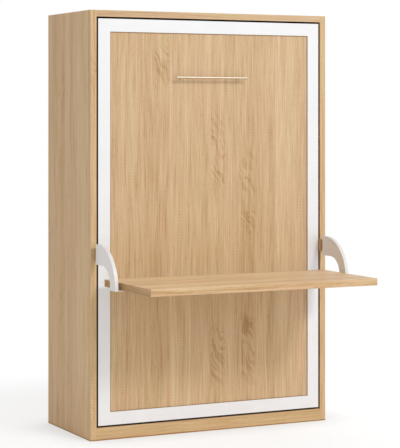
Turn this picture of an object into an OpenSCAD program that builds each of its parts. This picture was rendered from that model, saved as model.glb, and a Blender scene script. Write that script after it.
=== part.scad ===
// Upright wall bed with a desk that stays level while the bed is lowered.
// Frame: X across the front, Y = 0 on the cabinet's front plane and +Y to the wall, Z up.
// The origin is on the floor, at the middle of the cabinet's front edge. Millimetres.

/* [Cabinet] */
// Overall width of the cabinet
cabinet_w = 1320; // [1080:5:1620]
// Overall depth of the cabinet, front edge to wall
cabinet_d = 565; // [450:5:700]
// Overall height of the cabinet
cabinet_h = 2100; // [1740:5:2540]
// Thickness of the side boards and of the top board
board_t = 32; // [22:1:40]
// Height of the plinth boards
plinth_h = 62; // [50:1:76]
// Thickness of the plinth's front board
plinth_t = 32; // [18:1:38]
// Thickness of the boards inside the cabinet
inner_board_t = 18; // [15:1:22]
// Height of the base board's underside above the floor
base_z = 20; // [10:1:26]
// Thickness of the back sheets
sheet_t = 4; // [3:0.5:6]
// Distance of the back sheets from the wall plane
sheet_inset = 2; // [1.5:0.5:5]
// Height of the rails that are fixed to the wall
wall_rail_h = 120; // [80:5:160]
// Width of the strip that joins the two back sheets
joint_strip_w = 24; // [16:1:30]
// Wall of the joining strip, less than the sheets' inset
joint_strip_wall = 1; // [0.8:0.1:1.4]
// Radius of the boards' edge banding
edge_r = 1.2; // [0.5:0.1:2]

/* [Wall fixings] */
// Number of holes along each wall rail
wall_hole_count = 2; // [2:1:5]
// Distance between neighbouring wall holes
wall_hole_pitch = 800; // [200:10:1000]
// Radius of a wall hole
wall_hole_r = 5.5; // [3:0.5:7]

/* [Bed front] */
// Gap all round the bed front, between it and the cabinet
front_gap = 9; // [8:0.5:12]
// Depth of the bed front behind the cabinet's front plane
front_recess = 1.5; // [0.5:0.5:6]
// Thickness of the white trim
trim_t = 22; // [18:1:26]
// Width of the white trim
trim_w = 64; // [48:1:80]
// Step from the trim's face down to the wood panel
panel_recess = 4; // [2:0.5:6]
// Width of the trim's rebate, which the panel sits in
rebate_w = 12; // [8:1:20]

/* [Handle] */
// Length of the handle bar
handle_l = 395; // [300:5:480]
// Radius of the handle bar
handle_r = 6; // [4:0.5:8]
// Distance between the two handle posts
handle_post_pitch = 320; // [192:32:320]
// Radius of a handle post
handle_post_r = 4.5; // [3:0.5:5]
// Distance from the wood panel to the handle bar's middle
handle_standoff = 30; // [22:1:40]
// Distance of the handle below the bed front's top edge
handle_drop = 285; // [150:5:400]
// Place of the handle's middle, from the bed's middle
handle_x = -12; // [-60:1:60]

/* [Bed frame] */
// Width of the steel tubes, along the bed's face
tube_w = 30; // [25:1:40]
// Depth of the steel tubes, square to the bed's face
tube_d = 50; // [40:1:60]
// Wall of the steel tubes
tube_wall = 2; // [1.5:0.5:3]
// Distance of the steel frame from the bed front's top and bottom edges
frame_inset = 5; // [3:1:12]
// Number of cross tubes between the head and foot tubes
cross_count = 2; // [1:1:4]
// Number of slats
slat_count = 14; // [10:1:18]
// Width of a slat
slat_w = 62; // [50:1:75]
// Thickness of a slat
slat_t = 8; // [6:0.5:9]
// Length of a slat that is held in its end cap
slat_grip = 26; // [20:1:28]
// Wall of a slat's end cap
cap_wall = 2; // [1.5:0.5:3]

/* [Mattress] */
// Thickness of the mattress
mattress_t = 170; // [120:5:180]
// Radius of the mattress's upright corners and edges
mattress_r = 30; // [10:5:50]
// Clearance between the mattress and the hinge arms
mattress_gap = 1.5; // [1:0.5:6]
// Distance of the mattress's head end above the leg's pivot
mattress_over_leg = 60; // [30:5:80]
// Thickness of the plate that the mattress stands on
rest_t = 3; // [2:0.5:5]
// Depth of the plate that the mattress stands on
rest_d = 110; // [80:5:140]
// Width of the plate that the mattress stands on
rest_w = 900; // [500:10:960]
// Width of a mattress strap
strap_w = 40; // [30:1:50]
// Thickness of a mattress strap
strap_t = 1.5; // [1:0.1:2]
// Distance of a strap from its end of the mattress
strap_from_end = 620; // [400:10:700]

/* [Hinges and levelling] */
// Distance of the bed's hinge behind the cabinet's front plane
hinge_y = 60; // [56:1:66]
// Height of the bed's hinge above the floor
hinge_z = 270; // [255:1:300]
// Radius of the hinge axle
axle_r = 10; // [8:0.5:12]
// Wall of the hinge bush
bush_wall = 3; // [2:0.5:4]
// Radial running clearance of every pin and axle
pin_clear = 0.06; // [0.03:0.01:0.1]
// Distance of the desk's pivot behind the cabinet's front plane
desk_pivot_y = 40; // [38:1:50]
// Height of the desk's pivot above the desk top
desk_pivot_rise = 145; // [130:1:150]
// Step from each pivot to its levelling pivot, both back and up
level_step = 40; // [34:1:48]
// Radius of the desk's and the leg's pivot journals
journal_r = 6; // [5:0.5:8]
// Radius of the bosses that the journals stand on
boss_r = 12; // [9:0.5:14]
// Radius of the levelling pins
level_pin_r = 5; // [4:0.5:6]
// Width of a levelling rod
level_rod_w = 20; // [16:1:24]
// Thickness of a levelling rod
level_rod_t = 4; // [3:0.5:4.5]
// Thickness of the desk levers and of the leg's arms
lever_t = 5; // [4:0.5:5.5]
// Side clearance between the moving plates and the cabinet side
lever_gap = 1.5; // [1:0.5:2]
// Thickness of the plates screwed to the cabinet sides
wall_plate_t = 4; // [3:0.5:5]
// Thickness of the hinge arms on the bed frame
hinge_arm_t = 5; // [4:0.5:6]

/* [Gas struts] */
// Radius of a strut's barrel
strut_r = 9; // [7:0.5:9]
// Radius of a strut's rod
strut_rod_r = 4; // [3:0.5:4.5]
// Length of a strut's barrel, eye to mouth
strut_barrel_l = 420; // [380:5:480]
// Distance from the bed's hinge back to the strut's stud on the bed
strut_crank = 150; // [120:1:160]
// Distance of the strut's anchor behind the cabinet's front plane
strut_anchor_y = 250; // [220:5:300]
// Height of the strut's anchor above the bed's hinge
strut_anchor_rise = 740; // [700:5:800]
// Radius of a strut's eye
strut_eye_r = 10; // [8:0.5:12]
// Width of a strut's eye
strut_eye_w = 10; // [9.5:0.5:12]
// Radius of the strut's studs
strut_stud_r = 5; // [4:0.5:6]

/* [Leg] */
// Distance of the leg's pivot below the bed front's top edge
leg_drop = 125; // [115:1:150]
// Distance of the leg's pivot behind the cabinet's front plane
leg_y = 50; // [46:1:60]
// Radius of the leg's cross tube
leg_tube_r = 12.5; // [10:0.5:15]
// Wall of the leg's cross tube
leg_tube_wall = 1.5; // [1:0.5:2]
// Wall of the rubber sleeves that stand on the floor
sleeve_wall = 4; // [3:0.5:5]
// Length of a rubber sleeve
sleeve_l = 90; // [60:5:150]
// Distance of a rubber sleeve from its end of the cross tube
sleeve_inset = 40; // [20:5:80]
// Width of a leg arm
leg_arm_w = 36; // [28:1:40]
// Gap left between the lowered leg and the floor
leg_floor_gap = 1; // [0.5:0.5:3]

/* [Desk] */
// Height of the desk top above the floor
desk_h = 790; // [720:5:820]
// Thickness of the desk board
desk_t = 34; // [25:1:40]
// Gap between the cabinet's front plane and the desk's back edge
desk_gap = 54; // [40:1:70]
// Depth of the desk board
desk_d = 534; // [420:2:640]
// Distance of the desk's ends in from the cabinet's sides
desk_inset = 51; // [48:1:70]
// Thickness of the curved desk arms
arm_t = 17; // [14:1:20]
// Gap between the cabinet's front plane and the arms' back edge
arm_gap = 27; // [20:1:34]
// Distance from the cabinet's front plane to the arms' front edge
arm_reach = 262; // [240:2:300]
// Radius of the arms' outer curve
arm_outer_r = 205; // [190:1:210]
// Radius of the arms' inner curve
arm_inner_r = 90; // [70:1:95]
// Depth of an arm at its foot
arm_foot_d = 62; // [54:1:70]
// Height of an arm at its root
arm_root_h = 99; // [90:1:110]
// Thickness of an arm's foot plate
foot_t = 4; // [3:0.5:6]
// Length of an arm's foot plate, from the arm's outer face inwards
foot_l = 84; // [76:1:110]

/* [Screws] */
// Radius of a screw's shank
screw_r = 2.5; // [2:0.5:3]
// Radius of a screw's head
screw_head_r = 5; // [4:0.5:6]
// Height of a screw's head
screw_head_h = 2; // [1.5:0.25:2.25]
// Length of a screw's shank past the plate it holds
screw_bite = 12; // [8:1:14]

/* [Hidden] */

// Fineness of small rounds, of pins and tubes, and of the arms' large curves
edge_fn = 16;
pin_fn = 32;
curve_fn = 96;
// Overlap that a cut runs past the face it opens
cut = 1;
// Clearance of a soft or rubber piece at rest
soft_gap = 0.3;
// Clearance of a screw's shank in its hole
screw_clear = 0.1;

oak = "#cfae82";
trim_white = "#f2f2f2";
steel_grey = "#b9bcc0";
dark_steel = "#4a4d50";
black = "#222222";
beech = "#e2c79c";

// Cabinet
half_w = cabinet_w / 2;
inner_x = half_w - board_t;
top_z = cabinet_h - board_t;
sheet_y1 = cabinet_d - sheet_inset;
sheet_y0 = sheet_y1 - sheet_t;
rail_y0 = sheet_y0 - inner_board_t;
sheet_joint_z = cabinet_h / 2;
sheet_seam = 2 * joint_strip_wall;
middle_rail_z = sheet_joint_z + joint_strip_w;

// Planes beside the bed, as distances in from the cabinet side's inner face
lever_u = lever_gap;
level_rod_u = lever_u + lever_t + 1;
level_rod_end_u = level_rod_u + level_rod_t;
strut_u = wall_plate_t + screw_head_h + strut_eye_w / 2 + 0.5;
hinge_arm_u = strut_u + strut_r + 1;
frame_u = hinge_arm_u + hinge_arm_t;

// Bed front
leaf_x = inner_x - front_gap;
leaf_z0 = plinth_h + front_gap;
leaf_z1 = top_z - front_gap;
leaf_mid_z = (leaf_z0 + leaf_z1) / 2;
leaf_back_y = front_recess + trim_t;
panel_y = front_recess + panel_recess;
panel_x = leaf_x - trim_w + rebate_w;
panel_z0 = leaf_z0 + trim_w - rebate_w;
panel_z1 = leaf_z1 - trim_w + rebate_w;

// Bed frame
rail_x1 = inner_x - frame_u;
rail_x0 = rail_x1 - tube_w;
frame_z0 = leaf_z0 + frame_inset;
frame_z1 = leaf_z1 - frame_inset;
rail_back_y = leaf_back_y + tube_d;
cross_step = (frame_z1 - frame_z0 - tube_w) / (cross_count + 1);
cap_h = slat_t + 2 * cap_wall;
slat_x = rail_x0 + slat_grip;

// Mattress
mattress_x = rail_x1 - mattress_gap;
mattress_y0 = rail_back_y + cap_h + soft_gap;
mattress_y1 = mattress_y0 + mattress_t;
leg_z = leaf_z1 - leg_drop;
mattress_z1 = leg_z + mattress_over_leg;
rest_z1 = frame_z0 + tube_w / 2;
mattress_z0 = rest_z1 + soft_gap;

// Handle
handle_y = panel_y - handle_standoff;
handle_z = leaf_z1 - handle_drop;

// Desk and its arms
desk_x = half_w - desk_inset;
desk_y1 = -desk_gap;
desk_y0 = desk_y1 - desk_d;
desk_under_z = desk_h - desk_t;
arm_x0 = inner_x - lever_u;
arm_top_z = desk_under_z + arm_outer_r;
arm_root_z = arm_top_z - arm_root_h;
arm_curve_y = arm_outer_r - arm_reach;
arm_inner_y = arm_foot_d - arm_reach;
foot_x0 = arm_x0 + arm_t - foot_l;
desk_pivot_z = desk_h + desk_pivot_rise;
level_hinge = [hinge_y + level_step, hinge_z + level_step];
level_desk = [desk_pivot_y + level_step, desk_pivot_z + level_step];

// Leg
leg_sleeve_r = leg_tube_r + sleeve_wall;
leg_l = hinge_z + leg_y - hinge_y - leg_floor_gap - leg_sleeve_r;
leg_bar_y = leg_y + leg_l;

// Struts
strut_stud = [hinge_y + strut_crank, hinge_z];
strut_anchor = [strut_anchor_y, hinge_z + strut_anchor_rise];
strut_drop = strut_anchor - strut_stud;
strut_l = norm(strut_drop);
strut_tilt = -atan2(strut_drop[0], strut_drop[1]);
strut_stud_end_u = strut_u + strut_eye_w / 2 + 0.4;

// Draws on the right-hand side (+1) or mirrors to the left-hand side (-1).
module on_side(side) {
    if (side > 0) children();
    else mirror([1, 0, 0]) children();
}

module on_both_sides() {
    for (side = [-1, 1]) on_side(side) children();
}

// A plate whose outline is drawn in Y and Z, u from the cabinet side's inner face and t thick.
module plate(u, t) {
    translate([inner_x - u - t, 0, 0]) rotate([90, 0, 90]) linear_extrude(t) children();
}

// A pin along X at point p (Y, Z), from u0 to u1 in from the cabinet side's inner face.
module pin(p, u0, u1, r) {
    translate([inner_x - u1, p[0], p[1]]) rotate([0, 90, 0]) cylinder(h = u1 - u0, r = r, $fn = pin_fn);
}

module disc(p, r) {
    translate(p) circle(r = r, $fn = pin_fn);
}

// A rectangle with rounded corners, its low corner at the origin.
module round_rect(w, h, r) {
    translate([r, 0]) square([w - 2 * r, h]);
    translate([0, r]) square([w, h - 2 * r]);
    for (x = [r, w - r], y = [r, h - r]) translate([x, y]) circle(r = r, $fn = edge_fn);
}

// Boards with banded edges, from low corner a to high corner b.
module board_z(a, b) {
    translate(a) linear_extrude(b[2] - a[2]) round_rect(b[0] - a[0], b[1] - a[1], edge_r);
}

module board_x(a, b) {
    translate(a) rotate([90, 0, 90]) linear_extrude(b[0] - a[0])
        round_rect(b[1] - a[1], b[2] - a[2], edge_r);
}

module block(a, b) {
    translate(a) cube(b - a);
}

// Cabinet

module side(s) {
    color(oak) on_side(s) difference() {
        board_z([inner_x, 0, 0], [half_w, cabinet_d, cabinet_h]);
        for (p = hinge_screw_points()) pin(p, -screw_bite, cut, screw_r + screw_clear);
        for (p = anchor_screw_points()) pin(p, -screw_bite, cut, screw_r + screw_clear);
    }
}

module top_panel() {
    color(oak) board_x([-inner_x, 0, top_z], [inner_x, cabinet_d, cabinet_h]);
}

module base_panel() {
    color(oak) block([-inner_x, plinth_t, base_z], [inner_x, rail_y0, base_z + inner_board_t]);
}

// Banded along its upper edges; the lower edges are square and stand on the floor.
module plinth_front() {
    color(oak) union() {
        board_x([-inner_x, 0, 0], [inner_x, plinth_t, plinth_h]);
        block([-inner_x, 0, 0], [inner_x, plinth_t, plinth_h / 2]);
    }
}

module plinth_back() {
    color(oak) block([-inner_x, rail_y0, 0], [inner_x, sheet_y0, plinth_h]);
}

module wall_holes(z) {
    for (i = [0:wall_hole_count - 1])
        translate([(i - (wall_hole_count - 1) / 2) * wall_hole_pitch, cabinet_d + cut, z])
            rotate([90, 0, 0]) cylinder(h = cabinet_d - rail_y0 + 2 * cut, r = wall_hole_r, $fn = pin_fn);
}

module back_sheet_lower() {
    color(oak) difference() {
        block([-inner_x, sheet_y0, 0], [inner_x, sheet_y1, sheet_joint_z - sheet_seam / 2]);
        wall_holes(middle_rail_z + wall_rail_h / 2);
    }
}

module back_sheet_upper() {
    color(oak) difference() {
        block([-inner_x, sheet_y0, sheet_joint_z + sheet_seam / 2], [inner_x, sheet_y1, top_z]);
        wall_holes(middle_rail_z + wall_rail_h / 2);
        wall_holes(top_z - wall_rail_h / 2);
    }
}

// An H-shaped strip: a web between the two sheets and a flange on each face of them.
module back_joint_strip() {
    z0 = sheet_joint_z - joint_strip_w / 2;
    z1 = sheet_joint_z + joint_strip_w / 2;
    color(trim_white) union() {
        block([-inner_x, sheet_y0, sheet_joint_z - sheet_seam / 2],
            [inner_x, sheet_y1, sheet_joint_z + sheet_seam / 2]);
        for (y = [sheet_y0 - joint_strip_wall, sheet_y1])
            block([-inner_x, y, z0], [inner_x, y + joint_strip_wall, z1]);
    }
}

module cross_board(z) {
    color(oak) difference() {
        block([-inner_x, rail_y0, z], [inner_x, sheet_y0, z + wall_rail_h]);
        wall_holes(z + wall_rail_h / 2);
    }
}

module wall_rail() {
    cross_board(top_z - wall_rail_h);
}

module middle_rail() {
    cross_board(middle_rail_z);
}

// The hinge plate runs round the axle and the levelling pin, with a screw near each corner.
plate_margin = 38;
function hinge_plate_box() = [
    [hinge_y - plate_margin, hinge_z - plate_margin],
    [level_hinge[0] + plate_margin, level_hinge[1] + plate_margin]
];
function hinge_screw_points() = [
    for (y = [0, 1], z = [0, 1])
        [hinge_plate_box()[y][0] + (1 - 2 * y) * 2 * screw_head_r,
            hinge_plate_box()[z][1] + (1 - 2 * z) * 2 * screw_head_r]
];
// The strut's anchor plate stands above its stud, clear of the barrel that hangs below.
anchor_half_w = 22;
anchor_below = 12;
anchor_above = 52;
function anchor_screw_points() = [
    for (i = [0.5, 0.8]) strut_anchor + [0, i * anchor_above]
];

module hinge_plate(s) {
    box = hinge_plate_box();
    size = box[1] - box[0];
    color(dark_steel) on_side(s) difference() {
        union() {
            plate(0, wall_plate_t) translate(box[0]) round_rect(size[0], size[1], screw_head_r);
            pin([hinge_y, hinge_z], wall_plate_t - cut, hinge_arm_u - 0.5, axle_r + bush_wall + 1);
            pin([hinge_y, hinge_z], wall_plate_t - cut, frame_u - 0.5, axle_r);
            pin(level_hinge, wall_plate_t - cut, level_rod_u - 0.3, level_pin_r + 3);
            pin(level_hinge, wall_plate_t - cut, level_rod_end_u + 0.3, level_pin_r);
            pin(level_hinge, level_rod_end_u + 0.3, level_rod_end_u + 2, level_pin_r + 2.5);
        }
        for (p = hinge_screw_points()) pin(p, -cut, wall_plate_t + cut, screw_r + screw_clear);
    }
}

module screw(p, u, bite) {
    pin(p, u, u + screw_head_h, screw_head_r);
    pin(p, u - wall_plate_t - bite, u + screw_head_h / 2, screw_r);
}

module hinge_screws() {
    color(steel_grey) on_both_sides() union() {
        for (p = concat(hinge_screw_points(), anchor_screw_points()))
            screw(p, wall_plate_t, screw_bite - 2);
    }
}

module strut_anchor_plate(s) {
    color(dark_steel) on_side(s) difference() {
        union() {
            plate(0, wall_plate_t) translate(strut_anchor - [anchor_half_w, anchor_below])
                round_rect(2 * anchor_half_w, anchor_below + anchor_above, screw_head_r);
            pin(strut_anchor, wall_plate_t - cut, strut_u - strut_eye_w / 2 - 0.3, strut_stud_r + 3);
            pin(strut_anchor, wall_plate_t - cut, strut_stud_end_u, strut_stud_r);
            pin(strut_anchor, strut_stud_end_u - 0.1, strut_stud_end_u + 1.6, strut_stud_r + 2);
        }
        for (p = anchor_screw_points()) pin(p, -cut, wall_plate_t + cut, screw_r + screw_clear);
    }
}

// Rubber-faced blocks under the top board, which the raised bed's side tubes rest against.
module bed_stops() {
    stop_y = rail_back_y + soft_gap;
    color(black) on_both_sides()
        block([rail_x0 + 4, stop_y, frame_z1 - tube_w / 2], [inner_x, stop_y + 24, top_z]);
}

// Bed front

// One trim bar with mitred ends: length along X, width up from Z = 0, thickness from Y = 0.
module trim_bar(l) {
    step = trim_t - panel_recess;
    intersection() {
        translate([-l / 2, 0, 0]) rotate([90, 0, 90]) linear_extrude(l) difference() {
            round_rect(trim_t, trim_w, edge_r);
            translate([panel_recess, trim_w - rebate_w]) square([step + cut, rebate_w + cut]);
        }
        translate([0, trim_t + cut, 0]) rotate([90, 0, 0]) linear_extrude(trim_t + 2 * cut)
            polygon([[-l / 2, 0], [l / 2, 0], [l / 2 - trim_w, trim_w], [trim_w - l / 2, trim_w]]);
    }
}

module trim_upright(s) {
    color(trim_white) on_side(-s) translate([-leaf_x, front_recess, leaf_mid_z])
        rotate([0, 90, 0]) trim_bar(leaf_z1 - leaf_z0);
}

module trim_top() {
    color(trim_white) translate([0, front_recess, leaf_z1]) mirror([0, 0, 1]) trim_bar(2 * leaf_x);
}

module trim_bottom() {
    color(trim_white) translate([0, front_recess, leaf_z0]) trim_bar(2 * leaf_x);
}

module front_panel() {
    color(oak) block([-panel_x, panel_y, panel_z0], [panel_x, leaf_back_y, panel_z1]);
}

// Steel angles that hold the bed front on the side tubes, in the middle of each bay.
angle_size = 24;
angle_t = 2;
module leaf_angles() {
    color(steel_grey) on_both_sides() union() {
        for (i = [0:cross_count]) {
            z = frame_z0 + cross_step * (i + 0.5) + (tube_w - angle_size) / 2;
            block([rail_x0 - angle_size, leaf_back_y, z], [rail_x0, leaf_back_y + angle_t, z + angle_size]);
            block([rail_x0 - angle_t, leaf_back_y, z], [rail_x0, leaf_back_y + angle_size, z + angle_size]);
        }
    }
}

module handle_bar() {
    color(steel_grey) translate([handle_x - handle_l / 2, handle_y, handle_z]) rotate([0, 90, 0])
        cylinder(h = handle_l, r = handle_r, $fn = pin_fn);
}

module handle_posts() {
    color(steel_grey) difference() {
        for (i = [-0.5, 0.5]) translate([handle_x + i * handle_post_pitch, panel_y, handle_z])
            rotate([90, 0, 0]) cylinder(h = handle_standoff, r = handle_post_r, $fn = pin_fn);
        translate([handle_x - handle_l / 2, handle_y, handle_z]) rotate([0, 90, 0])
            cylinder(h = handle_l, r = handle_r, $fn = pin_fn);
    }
}

// Bed frame

module tube_x(z) {
    difference() {
        block([-rail_x0, leaf_back_y, z], [rail_x0, rail_back_y, z + tube_w]);
        block([-rail_x0 - cut, leaf_back_y + tube_wall, z + tube_wall],
            [rail_x0 + cut, rail_back_y - tube_wall, z + tube_w - tube_wall]);
    }
}

module side_rail(s) {
    color(dark_steel) on_side(s) difference() {
        block([rail_x0, leaf_back_y, frame_z0], [rail_x1, rail_back_y, frame_z1]);
        block([rail_x0 + tube_wall, leaf_back_y + tube_wall, frame_z0 - cut],
            [rail_x1 - tube_wall, rail_back_y - tube_wall, frame_z1 + cut]);
    }
}

module head_rail() {
    color(dark_steel) tube_x(frame_z1 - tube_w);
}

module foot_rail() {
    color(dark_steel) tube_x(frame_z0);
}

module cross_rails() {
    color(dark_steel) for (i = [1:cross_count]) tube_x(frame_z0 + i * cross_step);
}

// A bent plate on the foot tube, which the upright mattress stands on.
module mattress_rest() {
    color(dark_steel) union() {
        block([-rest_w / 2, rail_back_y, rest_z1 - rest_t],
            [rest_w / 2, mattress_y0 + rest_d, rest_z1]);
        block([-rest_w / 2, rail_back_y, frame_z0], [rest_w / 2, rail_back_y + rest_t, rest_z1]);
    }
}

// The bed's half of the hinge: a plate on the side tube, from the axle back to the strut's stud.
module hinge_arm(s) {
    color(dark_steel) on_side(s) difference() {
        plate(hinge_arm_u, hinge_arm_t) union() {
            hull() {
                disc([hinge_y, hinge_z], 32);
                disc(strut_stud, 16);
                disc([hinge_y, hinge_z + 110], 12);
            }
            translate([leaf_back_y, hinge_z - 70]) square([tube_d, 240]);
        }
        pin([hinge_y, hinge_z], hinge_arm_u - cut, frame_u + cut, axle_r + bush_wall);
    }
}

module hinge_bushes() {
    color(black) on_both_sides() difference() {
        pin([hinge_y, hinge_z], hinge_arm_u, frame_u, axle_r + bush_wall);
        pin([hinge_y, hinge_z], hinge_arm_u - cut, frame_u + cut, axle_r + pin_clear);
    }
}

// A boss on the side tube with a journal that carries a lever or a leg arm.
module stub_axle(p) {
    shoulder_u = lever_u + lever_t + 0.3;
    pin(p, shoulder_u, frame_u, boss_r);
    pin(p, lever_u + 0.3, shoulder_u + cut, journal_r);
}

module desk_axles() {
    color(steel_grey) on_both_sides() stub_axle([desk_pivot_y, desk_pivot_z]);
}

module leg_axles() {
    color(steel_grey) on_both_sides() stub_axle([leg_y, leg_z]);
}

function slat_z(i) = mattress_z0 + (mattress_z1 - mattress_z0) * (i + 0.5) / slat_count;

module slats() {
    color(beech) for (i = [0:slat_count - 1])
        translate([-slat_x, rail_back_y + cap_wall, slat_z(i) - slat_w / 2])
            rotate([90, 0, 90]) linear_extrude(2 * slat_x) round_rect(slat_t, slat_w, slat_t / 2 - 0.5);
}

module slat_caps() {
    cap_w = slat_w + 2 * cap_wall;
    color(black) on_both_sides() difference() {
        for (i = [0:slat_count - 1])
            block([rail_x0 - 2, rail_back_y, slat_z(i) - cap_w / 2],
                [slat_x + cap_wall, rail_back_y + cap_h, slat_z(i) + cap_w / 2]);
        for (i = [0:slat_count - 1])
            block([rail_x0 - 2 - cut, rail_back_y + cap_wall, slat_z(i) - slat_w / 2],
                [slat_x, rail_back_y + cap_wall + slat_t, slat_z(i) + slat_w / 2]);
    }
}

// Mattress

module mattress() {
    color(trim_white) translate([-mattress_x, mattress_y0, mattress_z0])
        translate([0, mattress_t, 0]) rotate([90, 0, 0]) linear_extrude(mattress_t)
            round_rect(2 * mattress_x, mattress_z1 - mattress_z0, mattress_r);
}

// A strap runs from one side tube, over the mattress, to the other side tube.
module mattress_strap(z) {
    over_y = mattress_y1 + soft_gap;
    strap_x = rail_x1 + soft_gap;
    union() {
        block([-strap_x - strap_t, over_y, z - strap_w / 2],
            [strap_x + strap_t, over_y + strap_t, z + strap_w / 2]);
        on_both_sides() block([strap_x, leaf_back_y + tube_d / 4, z - strap_w / 2],
            [strap_x + strap_t, over_y + strap_t, z + strap_w / 2]);
    }
}

module mattress_straps() {
    color(dark_steel) for (z = [mattress_z0 + strap_from_end, mattress_z1 - strap_from_end])
        mattress_strap(z);
}

// Desk

function desk_screw_points() = [
    for (x = [foot_x0 + 12, desk_x - 12], i = [0.25, 0.75]) [x, arm_foot_d * i - arm_reach]
];

module desk_board() {
    color(oak) difference() {
        board_x([-desk_x, desk_y0, desk_under_z], [desk_x, desk_y1, desk_h]);
        on_both_sides() for (p = desk_screw_points())
            translate([p[0], p[1], desk_under_z - cut])
                cylinder(h = screw_bite + cut, r = screw_r + screw_clear, $fn = pin_fn);
    }
}

// The lever's tongue, in the middle of the arm's thickness: its edges in Y and Z.
tongue_u = lever_u - arm_t / 2 - lever_t / 2;
tongue_y0 = -arm_gap - 40;
tongue_y1 = -arm_gap / 4;
tongue_z0 = arm_root_z + 0.2 * arm_root_h;
tongue_z1 = arm_root_z + 0.8 * arm_root_h;
tongue_bar_y0 = tongue_y1 - 12;

// A crescent-shaped arm: a root in front of the cabinet and a foot plate under the desk.
module desk_arm(s) {
    color(trim_white) on_side(s) difference() {
        union() {
            translate([arm_x0, 0, 0]) rotate([90, 0, 90]) linear_extrude(arm_t) arm_outline();
            block([foot_x0, -arm_reach, desk_under_z - foot_t],
                [arm_x0 + arm_t, arm_inner_y, desk_under_z]);
        }
        for (p = desk_screw_points()) translate([p[0], p[1], desk_under_z - foot_t - cut])
            cylinder(h = foot_t + 2 * cut, r = screw_r + screw_clear, $fn = pin_fn);
        plate(tongue_u, lever_t) translate([tongue_y0, tongue_z0])
            square([cut - arm_gap - tongue_y0, tongue_z1 - tongue_z0]);
    }
}

// The outer edge is a quarter circle on the foot's level; the inner edge is square-set with one round.
module arm_outline() {
    round_y = arm_inner_y + arm_inner_r;
    round_z = arm_root_z - arm_inner_r;
    difference() {
        union() {
            intersection() {
                translate([arm_curve_y, desk_under_z]) circle(r = arm_outer_r, $fn = curve_fn);
                translate([-arm_reach, desk_under_z]) square([arm_outer_r, arm_outer_r]);
            }
            translate([arm_curve_y, desk_under_z]) square([-arm_gap - arm_curve_y, arm_outer_r]);
        }
        translate([round_y, desk_under_z - cut])
            square([cut - arm_gap - round_y, arm_root_z - desk_under_z + cut]);
        translate([arm_inner_y, desk_under_z - cut])
            square([arm_inner_r, round_z - desk_under_z + cut]);
        translate([round_y, round_z]) circle(r = arm_inner_r, $fn = curve_fn);
    }
}

// An angle in front of the cabinet: its tongue sits in the arm's root, its bar on the lever.
module arm_tongue(s) {
    color(dark_steel) on_side(s) union() {
        block([inner_x - tongue_u - lever_t, tongue_y0, tongue_z0],
            [inner_x - tongue_u, tongue_y1, tongue_z1]);
        block([inner_x - lever_u, tongue_bar_y0, tongue_z0], [inner_x - tongue_u, tongue_y1, tongue_z1]);
    }
}

// The lever runs from the tongue's bar, through the side gap, to the desk's pivot and levelling pin.
module desk_lever(s) {
    pivot = [desk_pivot_y, desk_pivot_z];
    color(dark_steel) on_side(s) difference() {
        union() {
            plate(lever_u, lever_t) union() {
                hull() {
                    translate([tongue_bar_y0, tongue_z0])
                        square([tongue_y1 - tongue_bar_y0, tongue_z1 - tongue_z0]);
                    disc(pivot, journal_r + 8);
                }
                hull() {
                    disc(pivot, journal_r + 8);
                    disc(level_desk, journal_r + 6);
                }
            }
            pin(level_desk, lever_u + lever_t - cut, level_rod_end_u + 0.3, level_pin_r);
            pin(level_desk, level_rod_end_u + 0.3, level_rod_end_u + 2, level_pin_r + 2.5);
        }
        pin(pivot, lever_u - cut, lever_u + lever_t + cut, journal_r + pin_clear);
    }
}

module desk_screws() {
    z0 = desk_under_z - foot_t - screw_head_h;
    color(steel_grey) on_both_sides() for (p = desk_screw_points()) translate([p[0], p[1], z0]) union() {
        cylinder(h = screw_head_h, r = screw_head_r, $fn = pin_fn);
        cylinder(h = screw_head_h + foot_t + screw_bite - 2, r = screw_r, $fn = pin_fn);
    }
}

// A flat bar from the hinge plate's levelling pin to the lever's one.
module level_rod(s) {
    color(steel_grey) on_side(s) difference() {
        plate(level_rod_u, level_rod_t) hull() {
            disc(level_hinge, level_rod_w / 2);
            disc(level_desk, level_rod_w / 2);
        }
        for (p = [level_hinge, level_desk])
            pin(p, level_rod_u - cut, level_rod_end_u + cut, level_pin_r + pin_clear);
    }
}

// Leg

module leg_arm(s) {
    color(trim_white) on_side(s) difference() {
        plate(lever_u, lever_t) union() {
            disc([leg_y, leg_z], leg_arm_w / 2);
            translate([leg_y, leg_z - leg_arm_w / 2]) square([leg_l, leg_arm_w]);
            disc([leg_bar_y, leg_z], leg_arm_w / 2);
        }
        pin([leg_y, leg_z], lever_u - cut, lever_u + lever_t + cut, journal_r + pin_clear);
    }
}

module leg_bar() {
    x1 = inner_x - lever_u - lever_t;
    color(trim_white) translate([-x1, leg_bar_y, leg_z]) rotate([0, 90, 0]) difference() {
        cylinder(h = 2 * x1, r = leg_tube_r, $fn = pin_fn);
        translate([0, 0, -cut]) cylinder(h = 2 * x1 + 2 * cut, r = leg_tube_r - leg_tube_wall, $fn = pin_fn);
    }
}

module leg_sleeves() {
    sleeve_u = lever_u + lever_t + sleeve_inset;
    color(black) on_both_sides() difference() {
        pin([leg_bar_y, leg_z], sleeve_u, sleeve_u + sleeve_l, leg_sleeve_r);
        pin([leg_bar_y, leg_z], sleeve_u - cut, sleeve_u + sleeve_l + cut, leg_tube_r);
    }
}

// Gas struts

// Local frame of a strut: origin at the anchor, -Z along the strut towards its stud.
module strut_frame(s) {
    on_side(s) translate([inner_x - strut_u, strut_anchor[0], strut_anchor[1]])
        rotate([strut_tilt, 0, 0]) children();
}

module eye_disc() {
    rotate([0, 90, 0]) cylinder(h = strut_eye_w, r = strut_eye_r, center = true, $fn = pin_fn);
}

strut_neck = strut_eye_r + 6;
strut_cap = 10;
strut_piston_r = strut_r - 2;

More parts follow.
